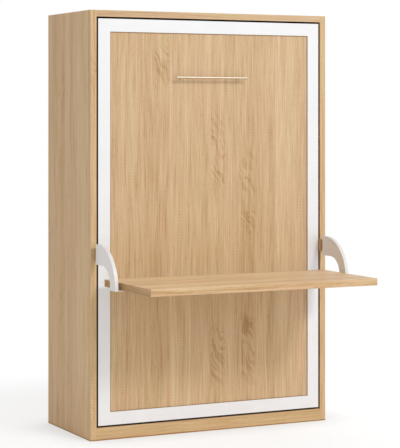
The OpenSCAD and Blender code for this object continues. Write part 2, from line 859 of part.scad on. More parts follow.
// The barrel is a turned shell with a piston space and a mouth for the rod.
module strut_barrel(s) {
    bore_r = strut_piston_r + pin_clear;
    mouth_r = strut_rod_r + pin_clear;
    color(black) strut_frame(s) difference() {
        union() {
            rotate_extrude($fn = pin_fn) polygon([
                [0, -strut_neck], [strut_r, -strut_neck], [strut_r, -strut_barrel_l],
                [mouth_r, -strut_barrel_l], [mouth_r, strut_cap - strut_barrel_l],
                [bore_r, strut_cap - strut_barrel_l], [bore_r, -strut_neck - strut_cap],
                [0, -strut_neck - strut_cap]
            ]);
            eye_disc();
            translate([0, 0, -strut_neck - 1]) cylinder(h = 9, r = strut_rod_r, $fn = pin_fn);
        }
        rotate([0, 90, 0])
            cylinder(h = strut_eye_w + 2 * cut, r = strut_stud_r + pin_clear, center = true, $fn = pin_fn);
    }
}

// The rod, its piston and its eye, with the stud whose end lies on the bed's hinge arm.
module strut_rod(s) {
    piston_z = 75 - strut_barrel_l;
    stud_in = hinge_arm_u - soft_gap - strut_u;
    color(steel_grey) strut_frame(s) union() {
        translate([0, 0, strut_eye_r / 2 - strut_l])
            cylinder(h = strut_l - strut_eye_r / 2 + piston_z, r = strut_rod_r, $fn = pin_fn);
        translate([0, 0, piston_z - 15]) cylinder(h = 15, r = strut_piston_r, $fn = pin_fn);
        translate([0, 0, -strut_l]) union() {
            eye_disc();
            translate([-stud_in, 0, 0]) rotate([0, 90, 0])
                cylinder(h = stud_in, r = strut_stud_r, $fn = pin_fn);
        }
    }
}

side(-1);  // side_left
side(1);  // side_right
top_panel();
base_panel();
plinth_front();
plinth_back();
back_sheet_lower();
back_sheet_upper();
back_joint_strip();
wall_rail();
middle_rail();
hinge_plate(-1);  // hinge_plate_left
hinge_plate(1);  // hinge_plate_right
hinge_screws();
strut_anchor_plate(-1);  // strut_anchor_left
strut_anchor_plate(1);  // strut_anchor_right
bed_stops();
trim_upright(-1);  // trim_left
trim_upright(1);  // trim_right
trim_top();
trim_bottom();
front_panel();
leaf_angles();
side_rail(-1);  // side_rail_left
side_rail(1);  // side_rail_right
head_rail();
foot_rail();
cross_rails();
mattress_rest();
hinge_arm(-1);  // hinge_arm_left
hinge_arm(1);  // hinge_arm_right
hinge_bushes();
desk_axles();
leg_axles();
slats();
slat_caps();
mattress();
mattress_straps();
handle_bar();
handle_posts();
desk_board();
desk_arm(-1);  // desk_arm_left
desk_arm(1);  // desk_arm_right
desk_lever(-1);  // desk_lever_left
desk_lever(1);  // desk_lever_right
arm_tongue(-1);  // arm_tongue_left
arm_tongue(1);  // arm_tongue_right
desk_screws();
level_rod(-1);  // level_rod_left
level_rod(1);  // level_rod_right
leg_arm(-1);  // leg_arm_left
leg_arm(1);  // leg_arm_right
leg_bar();
leg_sleeves();
strut_barrel(-1);  // strut_barrel_left
strut_barrel(1);  // strut_barrel_right
strut_rod(-1);  // strut_rod_left
strut_rod(1);  // strut_rod_right
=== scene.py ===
import math

import bmesh
import bpy
import numpy as np
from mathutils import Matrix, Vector


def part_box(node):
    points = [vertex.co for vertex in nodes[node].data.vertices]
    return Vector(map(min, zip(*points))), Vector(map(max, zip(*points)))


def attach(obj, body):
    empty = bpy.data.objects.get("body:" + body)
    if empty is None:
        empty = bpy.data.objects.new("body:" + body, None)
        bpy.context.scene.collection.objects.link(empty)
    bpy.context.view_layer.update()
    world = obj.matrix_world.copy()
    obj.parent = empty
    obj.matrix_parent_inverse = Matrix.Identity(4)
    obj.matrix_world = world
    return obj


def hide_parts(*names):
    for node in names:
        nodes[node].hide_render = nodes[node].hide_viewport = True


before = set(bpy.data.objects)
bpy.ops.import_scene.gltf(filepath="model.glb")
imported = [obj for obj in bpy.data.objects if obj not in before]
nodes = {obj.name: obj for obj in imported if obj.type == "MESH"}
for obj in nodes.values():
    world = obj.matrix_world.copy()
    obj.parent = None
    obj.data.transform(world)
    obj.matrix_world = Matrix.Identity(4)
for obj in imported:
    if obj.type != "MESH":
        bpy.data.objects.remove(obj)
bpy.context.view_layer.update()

scene = bpy.context.scene
print("frame loaded:", len(nodes), "nodes")

# the photograph's own view: a long lens at eye height, held level and shifted down
camera = {
    "place": (-3.890, -7.743, 1.601),  # metres from the foot of the cabinet's front
    "turn": 26.28,  # degrees to the right of straight at the front
    "lens": 138.4,  # mm on a 36 mm frame's long side
    "shift": -0.2495,  # of the frame's long side, which keeps the uprights parallel
}
camData = bpy.data.cameras.new("camera")
camData.lens = camera["lens"]
camData.sensor_width = 36
camData.shift_y = camera["shift"]
camData.clip_end = 100
camObject = bpy.data.objects.new("camera", camData)
scene.collection.objects.link(camObject)
camObject.location = camera["place"]
camObject.rotation_euler = (math.radians(90), 0, -math.radians(camera["turn"]))
scene.camera = camObject


def linear(hexColour):
    # sRGB hex to the linear colour that a shader takes
    parts = [int(hexColour[i:i + 2], 16) / 255 for i in (1, 3, 5)]
    return [c / 12.92 if c <= 0.04045 else ((c + 0.055) / 1.055) ** 2.4 for c in parts] + [1]


def addNode(tree, kind, inputs=None, **settings):
    # an input is a value or what it is linked to: a socket, or a node for its first output
    node = tree.nodes.new("ShaderNode" + kind)
    for name, value in settings.items():
        setattr(node, name, value)
    for socket, value in (inputs or {}).items():
        if isinstance(value, bpy.types.Node):
            value = value.outputs[0]
        if isinstance(value, bpy.types.NodeSocket):
            tree.links.new(value, node.inputs[socket])
        else:
            node.inputs[socket].default_value = value
    return node


def newMaterial(name):
    # an empty material with its output and its main shader
    material = bpy.data.materials.new(name)
    material.use_nodes = True
    tree = material.node_tree
    tree.nodes.clear()
    shader = addNode(tree, "BsdfPrincipled")
    addNode(tree, "OutputMaterial", {"Surface": shader.outputs["BSDF"]})
    return material, tree, shader


def setRamp(ramp, stops):
    # stops are (place, hex colour) or (place, grey)
    elements = ramp.color_ramp.elements
    while len(elements) < len(stops):
        elements.new(0.5)
    for element, (place, colour) in zip(elements, stops):
        element.position = place
        element.color = linear(colour) if isinstance(colour, str) else (colour, colour, colour, 1)


def dress(material, *names):
    for name in names:
        mesh = nodes[name].data
        mesh.materials.clear()
        mesh.materials.append(material)


def newPiece(name, mesh, body, material):
    piece = bpy.data.objects.new(name, mesh)
    scene.collection.objects.link(piece)
    mesh.materials.clear()
    mesh.materials.append(material)
    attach(piece, body)
    return piece


# sawn oak printed on melamine-faced chipboard, pressed with a fine pore: pale straps glued side
# by side, long soft streaks, and half flames that end sharply at the edge of their strap
oak = {
    "tones": [(0.0, "#A0794D"), (0.3, "#B79368"), (0.52, "#C6A57E"), (0.75, "#D0B28B"),
              (1.0, "#D9BF9B")],
    "strapTones": (0.5, 0.69),  # the darkest and the palest strap in that row
    "hues": (0.4945, 0.5065),  # from rosier to yellower
    "strapWidth": 0.105,  # metres, the mean width of a strap
    "wander": 0.036,  # metres that the grain strays sideways
    "wanderCells": (6, 1.8, 1),  # of noise in a metre, across and along, here and below
    "flamePitch": 0.034,  # metres between the lines of a flame, along the grain
    "flameSlope": 1.5,  # metres along the grain for each metre in from the strap's edge
    "flameCurl": 0.16,  # metres that a flame's lines are pushed about
    "curlCells": (15, 9, 1),
    "flameWidth": 0.095,  # metres that a flame reaches in from the edge
    "flameAcross": [(0.0, 0.0), (0.015, 0.9), (0.75, 0.9), (1.0, 0.0)],  # its strength over that
    "flameAlong": [(0.0, 0.0), (0.22, 1.0), (0.78, 1.0), (1.0, 0.0)],  # and over its length
    "flameGround": 0.1,  # tone between its lines
    "flameSpread": 12.0,  # how often its lines change in a metre from the edge
    "patchCells": (1, 2.2, 1),  # of the places where chance draws flames
    # each streak's width in metres, its cells in a metre along the grain, and its detail; the
    # fine one is coarser than real vessels, so that it shows
    "streaks": {"broad": (0.1, 0.5, 1.0), "middle": (0.037, 0.7, 3.0), "fine": (0.0048, 4.2, 2.0)},
    "poreCells": (240, 40, 1),
    "hueCells": (28, 1.4, 1),
    "sawPitch": 0.015,  # metres
    "sawCells": (16, 5, 1),
    # how far each moves the tone
    "depths": {"broad": 0.25, "middle": 0.68, "fine": 1.25, "pores": -0.13, "saw": 0.055,
               "flame": -0.33},
    "roughness": 0.46,
}


def oakBoard(name, along, seed, lift=0.0, figure=0.0, rich=1.0, bold=1.0, bright=1.0,
             straps=None, flames=(), rims=()):
    # along is the axis of the grain. straps are (where one starts, its tone) across the board, or
    # chance lays them; a flame is (strap edge, the side it lies on, its slope's sign, from, to),
    # and figure is how much chance draws on its own straps; a rim is (axis, from, to, how dark).
    # lift moves the tone up the row, rich and bright change the finished colour, and bold deepens
    # the wide streaks on a board that is seen at a slant
    material, tree, shader = newMaterial(name)
    place = addNode(tree, "TexCoord")
    xyz = addNode(tree, "SeparateXYZ", {"Vector": place.outputs["Object"]})
    a, b = [axis for axis in "XYZ" if axis != along]
    # on a cut end, where end is 1 and face is 0, the band's grain runs round the edge instead
    facing = addNode(tree, "SeparateXYZ", {"Vector": place.outputs["Normal"]})
    square = addNode(tree, "Math", {0: facing.outputs[along]}, operation="ABSOLUTE")
    end = addNode(tree, "Math", {0: square, 1: 0.12}, operation="GREATER_THAN")
    face = addNode(tree, "Math", {0: 1.0, 1: end}, operation="SUBTRACT")
    # side is the place across the grain, which adds up the other two axes, and run is the place
    # along it
    side = addNode(tree, "Math", {0: xyz.outputs[a], 1: face, 2: xyz.outputs[b]},
                   operation="MULTIPLY_ADD")
    run = addNode(tree, "Math", {0: xyz.outputs[a], 1: end, 2: xyz.outputs[along]},
                  operation="MULTIPLY_ADD")

    if straps:
        first, last = straps[0][0], straps[-1][0]
        over = addNode(tree, "MapRange", {"Value": side, "From Min": first, "From Max": last})
        row = addNode(tree, "ValToRGB", {"Fac": over})
        row.color_ramp.interpolation = "CONSTANT"
        setRamp(row, [((at - first) / (last - first), tone) for at, tone in straps[:-1]])
        strapTone = row.outputs["Color"]
    else:
        line = addNode(tree, "Math", {0: side, 1: 1 / oak["strapWidth"], 2: seed * 7.3},
                       operation="MULTIPLY_ADD")
        cell = addNode(tree, "TexVoronoi", {"W": line, "Scale": 1.0, "Randomness": 0.9},
                       voronoi_dimensions="1D")
        chance = addNode(tree, "SeparateColor", {"Color": cell.outputs["Color"]})
        strapTone = chance.outputs["Green"]

    # the grain wanders a little from side to side, and each strap has grain of its own
    layer = addNode(tree, "Math", {0: strapTone, 1: 37.0, 2: seed * 3.7}, operation="MULTIPLY_ADD")
    slow = addNode(tree, "CombineXYZ", {"X": side, "Y": run, "Z": layer})
    slowMap = addNode(tree, "Mapping", {"Vector": slow, "Scale": oak["wanderCells"]})
    wander = addNode(tree, "TexNoise", {"Vector": slowMap, "Scale": 1.0, "Detail": 2.0})
    across = addNode(tree, "Math", {0: wander.outputs["Fac"], 1: oak["wander"], 2: side},
                     operation="MULTIPLY_ADD")
    grain = addNode(tree, "CombineXYZ", {"X": across, "Y": run, "Z": layer})

    # a flame's lines slope away from its edge and curl
    ragMap = addNode(tree, "Mapping", {"Vector": grain, "Scale": oak["curlCells"]})
    rag = addNode(tree, "TexNoise", {"Vector": ragMap, "Scale": 1.0, "Detail": 3.0})

    def flameLines(off, sign):
        # off is the distance in from the edge; the lines are uneven in width and darkness
        bow = addNode(tree, "Math", {0: off, 1: sign * oak["flameSlope"], 2: run},
                      operation="MULTIPLY_ADD")
        rough = addNode(tree, "Math", {0: rag.outputs["Fac"], 1: oak["flameCurl"], 2: bow},
                        operation="MULTIPLY_ADD")
        # one line of this noise takes about 1.4 of its cells
        turns = addNode(tree, "Math", {0: rough, 1: 1.4 / oak["flamePitch"]}, operation="MULTIPLY")
        spread = addNode(tree, "Math", {0: off, 1: oak["flameSpread"]}, operation="MULTIPLY")
        flat = addNode(tree, "CombineXYZ", {"X": turns, "Y": spread, "Z": layer})
        lines = addNode(tree, "TexNoise", {"Vector": flat, "Scale": 1.0, "Detail": 1.5})
        return addNode(tree, "MapRange", {"Value": lines.outputs["Fac"], "From Min": 0.47,
                                          "From Max": 0.62})

    dark = []
    for edge, lies, sign, low, high in flames:
        off = addNode(tree, "Math", {0: side, 1: lies, 2: -edge * lies}, operation="MULTIPLY_ADD")
        inward = addNode(tree, "Math", {0: off, 1: oak["flameWidth"]}, operation="DIVIDE")
        near = addNode(tree, "ValToRGB", {"Fac": inward})
        setRamp(near, oak["flameAcross"])
        length = addNode(tree, "MapRange", {"Value": run, "From Min": low, "From Max": high})
        within = addNode(tree, "ValToRGB", {"Fac": length})
        setRamp(within, oak["flameAlong"])
        shown = addNode(tree, "Math", {0: near.outputs["Color"], 1: within.outputs["Color"]},
                        operation="MULTIPLY")
        body = addNode(tree, "Math", {0: flameLines(off, sign), 1: oak["flameGround"]},
                       operation="ADD")
        drawn = addNode(tree, "Math", {0: body, 1: shown}, operation="MULTIPLY")
        dark.append(drawn)
    if figure:
        # chance flames: nested points on some straps, open at the strap's edges; the points stand
        # up to 0.6 of a strap off its middle
        centre = addNode(tree, "Math", {0: line, 1: cell.outputs["W"]}, operation="SUBTRACT")
        heart = addNode(tree, "Math", {0: chance.outputs["Blue"], 1: 1.2, 2: centre},
                        operation="MULTIPLY_ADD")
        heartOff = addNode(tree, "Math", {0: heart, 1: 0.6}, operation="SUBTRACT")
        spreadOut = addNode(tree, "Math", {0: heartOff, 1: heartOff, 2: 0.012},
                            operation="MULTIPLY_ADD")
        root = addNode(tree, "Math", {0: spreadOut}, operation="SQRT")
        wide = addNode(tree, "Math", {0: root, 1: oak["strapWidth"]}, operation="MULTIPLY")
        patchMap = addNode(tree, "Mapping", {"Vector": slow, "Scale": oak["patchCells"]})
        patch = addNode(tree, "TexNoise", {"Vector": patchMap, "Scale": 1.0, "Detail": 1.0})
        shown = addNode(tree, "MapRange", {"Value": patch.outputs["Fac"], "From Min": 0.54,
                                           "From Max": 0.66, "To Max": figure})
        drawn = addNode(tree, "Math", {0: flameLines(wide, 1), 1: shown}, operation="MULTIPLY")
        dark.append(drawn)

    # streaks at three widths, and pores
    streaks = {}
    for size, (width, cells, detail) in oak["streaks"].items():
        stretch = addNode(tree, "Mapping", {"Vector": grain, "Scale": (1 / width, cells, 1)})
        streak = addNode(tree, "TexNoise", {"Vector": stretch, "Scale": 1.0, "Detail": detail,
                                            "Roughness": 0.55})
        streaks[size] = streak.outputs["Fac"]
    poreMap = addNode(tree, "Mapping", {"Vector": grain, "Scale": oak["poreCells"]})
    pore = addNode(tree, "TexNoise", {"Vector": poreMap, "Scale": 1.0, "Detail": 1.0})
    pores = addNode(tree, "MapRange", {"Value": pore.outputs["Fac"], "From Min": 0.56,
                                       "From Max": 0.7})

    # saw marks: faint ripples square to the grain, in patches
    saw = addNode(tree, "Math", {0: run, 1: math.tau / oak["sawPitch"]}, operation="MULTIPLY")
    sawWave = addNode(tree, "Math", {0: saw}, operation="SINE")
    sawMap = addNode(tree, "Mapping", {"Vector": slow, "Location": (3, 5, 0),
                                       "Scale": oak["sawCells"]})
    sawPatch = addNode(tree, "TexNoise", {"Vector": sawMap, "Scale": 1.0, "Detail": 1.0})
    sawShown = addNode(tree, "MapRange", {"Value": sawPatch.outputs["Fac"], "From Min": 0.6,
                                          "From Max": 0.72})
    sawMark = addNode(tree, "Math", {0: sawWave, 1: sawShown}, operation="MULTIPLY")

    # all of them move one value up or down the row of tones: each part is what moves it, the
    # level that leaves it alone, and how far it goes
    low, high = oak["strapTones"]
    total = addNode(tree, "MapRange", {"Value": strapTone, "To Min": low + lift,
                                       "To Max": high + lift})
    depths = oak["depths"]
    parts = [(streaks["broad"], 0.5, depths["broad"] * bold),
             (streaks["middle"], 0.5, depths["middle"] * bold),
             (streaks["fine"], 0.5, depths["fine"]),
             (pores, 0.15, depths["pores"]),
             (sawMark, 0.0, depths["saw"])]
    parts += [(flame, 0.0, depths["flame"]) for flame in dark]
    for axis, start, full, amount in rims:
        rim = addNode(tree, "MapRange", {"Value": xyz.outputs[axis], "From Min": start,
                                         "From Max": full})
        parts.append((rim, 0.0, -amount))
    for source, level, amount in parts:
        swing = addNode(tree, "Math", {0: source, 1: level}, operation="SUBTRACT")
        total = addNode(tree, "Math", {0: swing, 1: amount, 2: total}, operation="MULTIPLY_ADD")
    tones = addNode(tree, "ValToRGB", {"Fac": total})
    setRamp(tones, oak["tones"])
    # some straps and streaks are rosier, some yellower
    hueMap = addNode(tree, "Mapping", {"Vector": grain, "Location": (7, 3, 0),
                                       "Scale": oak["hueCells"]})
    hueNoise = addNode(tree, "TexNoise", {"Vector": hueMap, "Scale": 1.0, "Detail": 1.0})
    hue = addNode(tree, "MapRange", {"Value": hueNoise.outputs["Fac"], "From Min": 0.3,
                                     "From Max": 0.7, "To Min": oak["hues"][0],
                                     "To Max": oak["hues"][1]})
    tinted = addNode(tree, "HueSaturation", {"Color": tones.outputs["Color"], "Hue": hue,
                                             "Saturation": rich, "Value": bright})
    tree.links.new(tinted.outputs["Color"], shader.inputs["Base Color"])
    sheen = addNode(tree, "MapRange", {"Value": streaks["fine"], "From Min": 0.3, "From Max": 0.7,
                                       "To Min": oak["roughness"] - 0.05,
                                       "To Max": oak["roughness"] + 0.07})
    tree.links.new(sheen.outputs[0], shader.inputs["Roughness"])
    relief = addNode(tree, "Math", {0: pores, 1: -0.6, 2: streaks["fine"]},
                     operation="MULTIPLY_ADD")
    bump = addNode(tree, "Bump", {"Height": relief, "Strength": 0.12, "Distance": 0.0004})
    tree.links.new(bump.outputs[0], shader.inputs["Normal"])
    shader.inputs["IOR"].default_value = 1.5  # melamine
    shader.inputs["Specular IOR Level"].default_value = 0.35
    return material


# the front's straps and flames lie as in the photograph, in metres from the bed's middle and
# from the floor
front = {
    "straps": [(-0.66, 0.45), (-0.375, 0.12), (-0.233, 0.62), (-0.117, 0.66), (-0.005, 0.3),
               (0.071, 0.5), (0.166, 0.42), (0.25, 0.64), (0.363, 0.97), (0.482, 0.81),
               (0.66, 0.5)],
    "flames": [(-0.005, 1, 1, 1.12, 1.66), (0.25, -1, -1, 0.94, 1.43), (-0.233, -1, -1, 1.68, 1.97),
               (-0.005, 1, 1, 0.2, 0.56), (0.25, -1, -1, 0.2, 0.62)],
    "shadeLine": 0.005,  # metres
    "shadeLineDark": {"top": 1.5, "bottom": 0.5, "right": 0.8, "left": 0.6},
}
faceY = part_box("front_panel")[0].y  # side is X + Y on an upright board
straps = [(at + faceY, tone) for at, tone in front["straps"]]
flames = [(at + faceY, *rest) for at, *rest in front["flames"]]
# painted shade: the panel is darkened in a thin line round its edge, where the trim's recess shades
# it, darkest at the top
left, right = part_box("trim_left")[1].x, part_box("trim_right")[0].x
bottom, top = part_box("trim_bottom")[1].z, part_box("trim_top")[0].z
shadeLine, dark = front["shadeLine"], front["shadeLineDark"]
rims = [("Z", top - shadeLine, top - shadeLine / 2, dark["top"]),
        ("Z", bottom + shadeLine, bottom + shadeLine / 2, dark["bottom"]),
        ("X", right - shadeLine, right - shadeLine / 2, dark["right"]),
        ("X", left + shadeLine, left + shadeLine / 2, dark["left"])]
dress(oakBoard("oakDecorPanel", "Z", 1.0, 0.02, straps=straps, flames=flames, rims=rims),
      "front_panel")
# painted shade: the boards' feet are darkened in a thin line where they stand on the floor. The
# sides' front edges are paler than their faces, and the sides are made richer in colour, painted
# shade as the oak looks in shade
footShade = ("Z", 0.007, 0.003, 1.0)
dress(oakBoard("oakDecorSides", "Z", 8.6, figure=0.4, rich=1.07,
               rims=[("Y", 0.003, 0.001, -0.14), footShade]), "side_left", "side_right")
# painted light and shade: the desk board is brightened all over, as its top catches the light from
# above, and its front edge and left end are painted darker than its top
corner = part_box("desk_board")[0]
dress(oakBoard("oakDecorDesk", "X", 3.0, 0.1, bold=2.6, bright=1.15,
               rims=[("Y", corner.y + 0.003, corner.y + 0.001, 0.1),
                     ("X", corner.x + 0.003, corner.x + 0.001, 0.75)]), "desk_board")
dress(oakBoard("oakDecorTop", "X", 4.0, 0.1), "top_panel")
dress(oakBoard("oakDecorPlinth", "X", 5.0, rich=1.08, rims=[footShade]), "plinth_front", "plinth_back",
      "base_panel")
dress(oakBoard("oakDecorRails", "X", 6.0), "wall_rail", "middle_rail")
dress(oakBoard("oakPrintBack", "Z", 7.0, 0.05), "back_sheet_lower", "back_sheet_upper")
print("oak boards dressed")


# painted, plated and moulded finishes
coating = {
    "cloudCells": 7.0,  # in a metre, of the slow change of tone
    "cloudTone": 0.965,  # the darker end of that change
    "edgeFacing": 0.3,  # a face counts as an edge when it looks forward less than this
    "edgeRougher": 0.55,  # what an edge adds to the roughness
}


def paint(name, colour, roughness, grain, depth, metallic=0.0, ior=None, coat=0.0, edge=None):
    # a coating whose fine grain shows as a soft break-up of the gloss; grain and depth are in
    # metres, and edge is the colour of the faces that look up, down or sideways
    material, tree, shader = newMaterial(name)
    place = addNode(tree, "TexCoord")
    speckle = addNode(tree, "TexNoise", {"Vector": place.outputs["Object"], "Scale": 1 / grain,
                                         "Detail": 2.0})
    clouds = addNode(tree, "TexNoise", {"Vector": place.outputs["Object"],
                                        "Scale": coating["cloudCells"], "Detail": 2.0})
    base = linear(colour)
    tint = addNode(tree, "ValToRGB", {"Fac": clouds.outputs["Fac"]})
    for element, at, tone in zip(tint.color_ramp.elements, (0.3, 0.7), (coating["cloudTone"], 1)):
        element.position = at
        element.color = [c * tone for c in base[:3]] + [1]
    coloured = tint.outputs["Color"]
    if edge:
        facing = addNode(tree, "SeparateXYZ", {"Vector": place.outputs["Normal"]})
        forward = addNode(tree, "Math", {0: facing.outputs["Y"]}, operation="ABSOLUTE")
        sideways = addNode(tree, "Math", {0: forward, 1: coating["edgeFacing"]},
                           operation="LESS_THAN")
        mixed = addNode(tree, "MixRGB", {"Fac": sideways, "Color1": coloured,
                                         "Color2": linear(edge)})
        coloured = mixed.outputs["Color"]
    tree.links.new(coloured, shader.inputs["Base Color"])
    gloss = addNode(tree, "MapRange", {"Value": speckle.outputs["Fac"], "From Min": 0.3,
                                       "From Max": 0.7, "To Min": roughness - 0.04,
                                       "To Max": roughness + 0.06})
    if edge:
        gloss = addNode(tree, "Math", {0: sideways, 1: coating["edgeRougher"], 2: gloss},
                        operation="MULTIPLY_ADD")
    tree.links.new(gloss.outputs[0], shader.inputs["Roughness"])
    bump = addNode(tree, "Bump", {"Height": speckle.outputs["Fac"], "Strength": 0.2,
                                  "Distance": depth})
    tree.links.new(bump.outputs[0], shader.inputs["Normal"])
    shader.inputs["Metallic"].default_value = metallic
    if ior:
        shader.inputs["IOR"].default_value = ior
    shader.inputs["Coat Weight"].default_value = coat
    return material


# white lacquer sprayed on fibreboard and rubbed down: even, a soft satin gleam; the narrow edges
# are painted dark brown, partly the sealed board's own brown and partly painted shade, which draws
# a dark line round the front
lacqueredMdf = paint("lacqueredMdf", "#EDEEF0", 0.32, 0.004, 0.00006, ior=1.5, edge="#58300E")
dress(lacqueredMdf, "trim_left", "trim_right", "trim_top", "trim_bottom")
# white powder coat on flame-cut steel plate: a faint orange peel in the gloss
powderWhite = paint("powderCoatedSteel", "#E4E1DE", 0.36, 0.0025, 0.00012, ior=1.5)
dress(powderWhite, "desk_arm_left", "desk_arm_right", "leg_arm_left", "leg_arm_right", "leg_bar")
# brown black powder coat with a fine texture on tube and plate: dull, with a sandy sparkle
powderDark = paint("texturedPowderCoat", "#2B241E", 0.55, 0.0012, 0.0002, ior=1.5)
dress(powderDark, "side_rail_left", "side_rail_right", "head_rail", "foot_rail", "cross_rails",
      "mattress_rest", "hinge_arm_left", "hinge_arm_right", "hinge_plate_left", "hinge_plate_right",
      "strut_anchor_left", "strut_anchor_right")
# light brown powder coat, so that the desk's levers hide in the gap beside the oak
powderBrown = paint("brownPowderCoat", "#C29A6C", 0.5, 0.002, 0.00012, ior=1.5)
dress(powderBrown, "desk_lever_left", "desk_lever_right", "arm_tongue_left", "arm_tongue_right")
# zinc plated steel: a bluish grey metal with cloudy gloss
zinc = paint("zincPlatedSteel", "#B4B8BC", 0.34, 0.003, 0.00003, metallic=1.0)
dress(zinc, "hinge_screws", "leaf_angles", "desk_axles", "leg_axles", "desk_screws",
      "level_rod_left", "level_rod_right")
# hard chrome ground smooth: a near mirror with hairline scratches
chrome = paint("hardChromedRod", "#C9CBCE", 0.12, 0.001, 0.00001, metallic=1.0)
dress(chrome, "strut_rod_left", "strut_rod_right")
# stoved black enamel on the strut's tube: deep black under a clear gloss
enamel = paint("stovedEnamel", "#17181A", 0.25, 0.003, 0.00003, ior=1.5, coat=0.3)
dress(enamel, "strut_barrel_left", "strut_barrel_right")
# moulded nylon: black, with the mould's spark-eroded dullness
nylon = paint("mouldedNylon", "#26272A", 0.5, 0.0008, 0.0001, ior=1.53)
dress(nylon, "hinge_bushes", "slat_caps")
# moulded rubber: soft black that gives almost no highlight
rubber = paint("mouldedRubber", "#232323", 0.78, 0.0015, 0.00015, ior=1.52)
dress(rubber, "bed_stops", "leg_sleeves")
# extruded ABS: off-white with a waxy gloss
absStrip = paint("extrudedAbs", "#E4E0D8", 0.4, 0.005, 0.00005, ior=1.54)
dress(absStrip, "back_joint_strip")
print("paints and plating done")


def brushedSteel(name, along):
    # stainless bar, brushed along its length: long hairlines that stretch the highlight
    material, tree, shader = newMaterial(name)
    place = addNode(tree, "TexCoord")
    # hairlines in a metre, drawn coarser than they are, so that they show
    scale = [6 if axis == along else 900 for axis in "XYZ"]
    lines = addNode(tree, "Mapping", {"Vector": place.outputs["Object"], "Scale": scale})
    hair = addNode(tree, "TexNoise", {"Vector": lines, "Scale": 1.0, "Detail": 3.0})
    tint = addNode(tree, "ValToRGB", {"Fac": hair.outputs["Fac"]})
    setRamp(tint, [(0.3, "#B5A898"), (0.7, "#E2CFB9")])
    tree.links.new(tint.outputs["Color"], shader.inputs["Base Color"])
    gloss = addNode(tree, "MapRange", {"Value": hair.outputs["Fac"], "To Min": 0.16, "To Max": 0.3})
    tree.links.new(gloss.outputs[0], shader.inputs["Roughness"])
    bump = addNode(tree, "Bump", {"Height": hair.outputs["Fac"], "Strength": 0.15,
                                  "Distance": 0.00004})
    tree.links.new(bump.outputs[0], shader.inputs["Normal"])
    shader.inputs["Metallic"].default_value = 1.0
    return material


dress(brushedSteel("brushedStainlessBar", "X"), "handle_bar")
dress(brushedSteel("brushedStainlessPosts", "Y"), "handle_posts")


def beechPly():
    # beech veneer, glued and bent, clear lacquered: pinkish straw with short dark flecks
    material, tree, shader = newMaterial("lacqueredBeechPly")
    place = addNode(tree, "TexCoord")
    flow = addNode(tree, "Mapping", {"Vector": place.outputs["Object"], "Scale": (2.2, 40, 70)})
    grain = addNode(tree, "TexNoise", {"Vector": flow, "Scale": 1.0, "Detail": 4.0})
    short = addNode(tree, "Mapping", {"Vector": place.outputs["Object"], "Scale": (60, 300, 480)})
    fleck = addNode(tree, "TexNoise", {"Vector": short, "Scale": 1.0, "Detail": 1.0})
    flecks = addNode(tree, "MapRange", {"Value": fleck.outputs["Fac"], "From Min": 0.6,
                                        "From Max": 0.7, "To Min": 0.0, "To Max": -0.22})
    grained = addNode(tree, "Math", {0: grain.outputs["Fac"], 1: flecks}, operation="ADD")
    tint = addNode(tree, "ValToRGB", {"Fac": grained})
    setRamp(tint, [(0.2, "#B88A60"), (0.45, "#D3AC80"), (0.75, "#E3C39B")])
    tree.links.new(tint.outputs["Color"], shader.inputs["Base Color"])
    shader.inputs["Roughness"].default_value = 0.4
    shader.inputs["IOR"].default_value = 1.5
    shader.inputs["Coat Weight"].default_value = 0.2
    return material


dress(beechPly(), "slats")
print("handle and slats done")


# a foam block in quilted ticking, piped along its edges; it swells a little in its cover
mattress = {
    "startInset": 0.007,  # metres that the cover is smaller all round before it swells
    "cornerRadius": 0.045,
    "voxel": 0.017,  # metres, the grid that evens out the cover's faces
    "pressure": 4.0,
    "stiffness": 30,
    "frames": 16,
    "mostSwell": 0.0065,  # metres
    "quiltPitch": 0.15,  # metres between the sewn lines, both ways on the slant
    "quiltBorder": (0.02, 0.03),  # metres left plain, and over which the lines then deepen
    "quiltFrom": (0.8, 0.12),  # the same as shares of half the thickness
    "seamWidth": 0.011,  # metres
    "seamDepth": 0.0055,
    "pipeRadius": 0.0042,
    "pipeInset": 0.013,  # metres from the mattress's face to the pipe's middle
}


def wovenCloth(name, dark, pale, thread, roughness):
    # plain weave of soft yarn; thread is drawn coarser than it is, so that it shows
    material, tree, shader = newMaterial(name)
    place = addNode(tree, "TexCoord")
    xyz = addNode(tree, "SeparateXYZ", {"Vector": place.outputs["Object"]})
    weave = []
    for axis in "XZ":
        turns = addNode(tree, "Math", {0: xyz.outputs[axis], 1: math.tau / thread},
                        operation="MULTIPLY")
        weave.append(addNode(tree, "Math", {0: turns}, operation="SINE"))
    crossed = addNode(tree, "Math", {0: weave[0], 1: weave[1]}, operation="MULTIPLY")
    fibre = addNode(tree, "TexNoise", {"Vector": place.outputs["Object"], "Scale": 260.0,
                                       "Detail": 2.0})
    mixed = addNode(tree, "Math", {0: crossed, 1: 0.3, 2: fibre.outputs["Fac"]},
                    operation="MULTIPLY_ADD")
    tint = addNode(tree, "ValToRGB", {"Fac": mixed})
    setRamp(tint, [(0.2, dark), (0.8, pale)])
    tree.links.new(tint.outputs["Color"], shader.inputs["Base Color"])
    bump = addNode(tree, "Bump", {"Height": mixed, "Strength": 0.35, "Distance": 0.0005})
    tree.links.new(bump.outputs[0], shader.inputs["Normal"])
    shader.inputs["Roughness"].default_value = roughness
    shader.inputs["Sheen Weight"].default_value = 0.25
    shader.inputs["Sheen Roughness"].default_value = 0.5
    return material


# cotton ticking, plain woven: matt white with a soft nap
ticking = wovenCloth("wovenTicking", "#D9D8D3", "#EEEDE9", 0.003, 0.85)
# twisted polyester piping cord cover: a shade greyer than the ticking
piping = wovenCloth("wovenPiping", "#8E9196", "#A6A9AE", 0.002, 0.8)
# polypropylene webbing: dark grey, ribbed
webbing = wovenCloth("wovenWebbing", "#2A2C2F", "#3D4044", 0.0025, 0.7)


